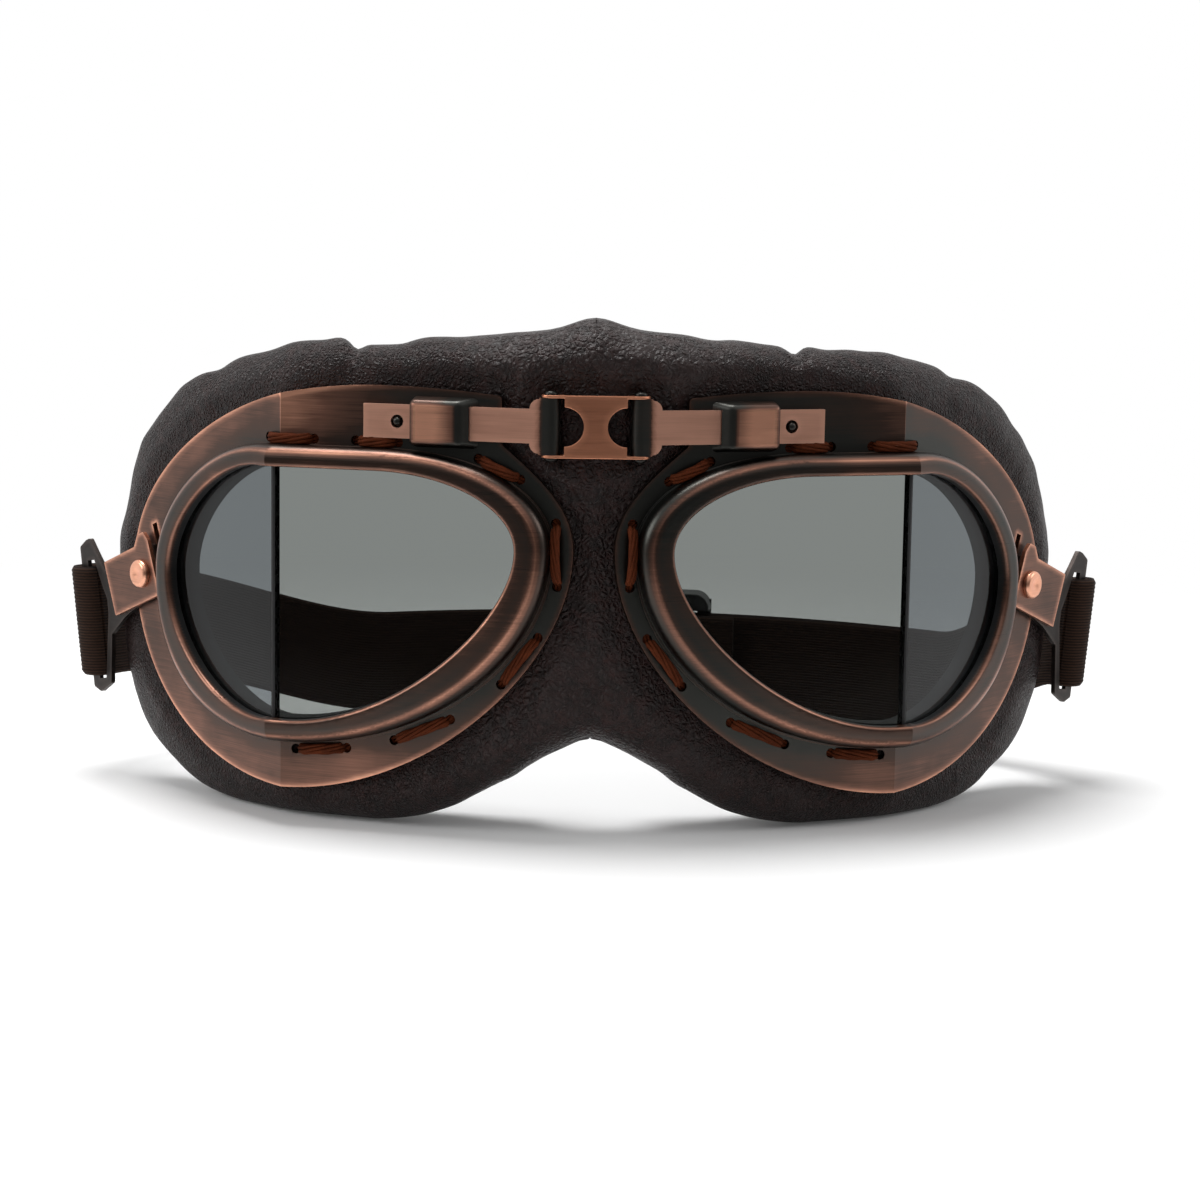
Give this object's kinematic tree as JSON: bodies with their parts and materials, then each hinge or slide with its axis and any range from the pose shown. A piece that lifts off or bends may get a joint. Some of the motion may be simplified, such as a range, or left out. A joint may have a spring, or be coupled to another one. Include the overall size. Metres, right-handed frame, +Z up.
{
  "type": "aviator flying goggles",
  "caption": "Folding metal-framed flying goggles with split glass, laced leather face mask and elastic head strap.",
  "frame": {"origin": "centre of the bounding box, on the table plane under the mask", "axes": "+X to the wearer's left, across both eyes; +Y from the glass back to the head strap; +Z up"},
  "size_m": [0.233, 0.1394, 0.106],
  "materials": {
    "copper": "antique brushed copper plate",
    "gunmetal": "dark blackened metal",
    "leather": "dark brown creased hide",
    "lens": "smoke grey, polished",
    "rubber": "matt black",
    "lace": "waxed twisted cord",
    "elastic": "ribbed woven elastic",
    "lining": "soft brushed lining",
    "plastic": "moulded black"
  },
  "bodies": {
    "bridge": {"bridge_link": "copper", "hinge_pin_left": "gunmetal", "hinge_pin_right": "gunmetal", "mask_nose": "leather", "elastic_strap": "elastic"},
    "left_eye": {"frame_plate_left": "copper", "bezel_left": "copper", "front_lens_left": "lens", "side_lens_left": "lens", "lens_strip_left": "rubber", "lens_seat_left": "rubber", "lace_left": "lace", "bridge_arm_left": "copper", "arm_clip_left": "copper", "arm_stud_left": "gunmetal", "strap_rivet_left": "copper", "mask_side_left": "leather", "face_pad_left": "lining"},
    "left_hook": {"strap_bracket_left": "copper", "strap_hook_left": "gunmetal"},
    "right_eye": {"frame_plate_right": "copper", "bezel_right": "copper", "front_lens_right": "lens", "side_lens_right": "lens", "lens_strip_right": "rubber", "lens_seat_right": "rubber", "lace_right": "lace", "bridge_arm_right": "copper", "arm_clip_right": "copper", "arm_stud_right": "gunmetal", "strap_rivet_right": "copper", "mask_side_right": "leather", "face_pad_right": "lining"},
    "right_hook": {"strap_bracket_right": "copper", "strap_hook_right": "gunmetal"},
    "slider": {"strap_slider": "plastic"}
  },
  "joints": [
    {"name": "right_eye_fold", "type": "hinge", "parent": "bridge", "child": "right_eye", "pos_m": [0.009, -0.06483, 0.0846], "axis": [0, 0, 1], "range_deg": [-8, 12], "deforming": ["mask_nose", "elastic_strap"]},
    {"name": "left_eye_fold", "type": "hinge", "parent": "bridge", "child": "left_eye", "pos_m": [-0.009, -0.06483, 0.0846], "axis": [0, 0, -1], "range_deg": [-8, 12], "deforming": ["mask_nose", "elastic_strap"]},
    {"name": "right_hook_swivel", "type": "hinge", "parent": "right_eye", "child": "right_hook", "pos_m": [0.09662, -0.01165, 0.0472], "axis": [0.7431, -0.6691, 0], "range_deg": [0, 20], "deforming": ["elastic_strap"]},
    {"name": "left_hook_swivel", "type": "hinge", "parent": "left_eye", "child": "left_hook", "pos_m": [-0.09662, -0.01165, 0.0472], "axis": [0.7431, 0.6691, 0], "range_deg": [0, 20], "deforming": ["elastic_strap"]},
    {"name": "slider_slide", "type": "slide", "parent": "bridge", "child": "slider", "axis": [0.9885, -0.1512, 0], "range_m": [-0.012, 0.01], "deforming": ["elastic_strap"]}
  ]
}
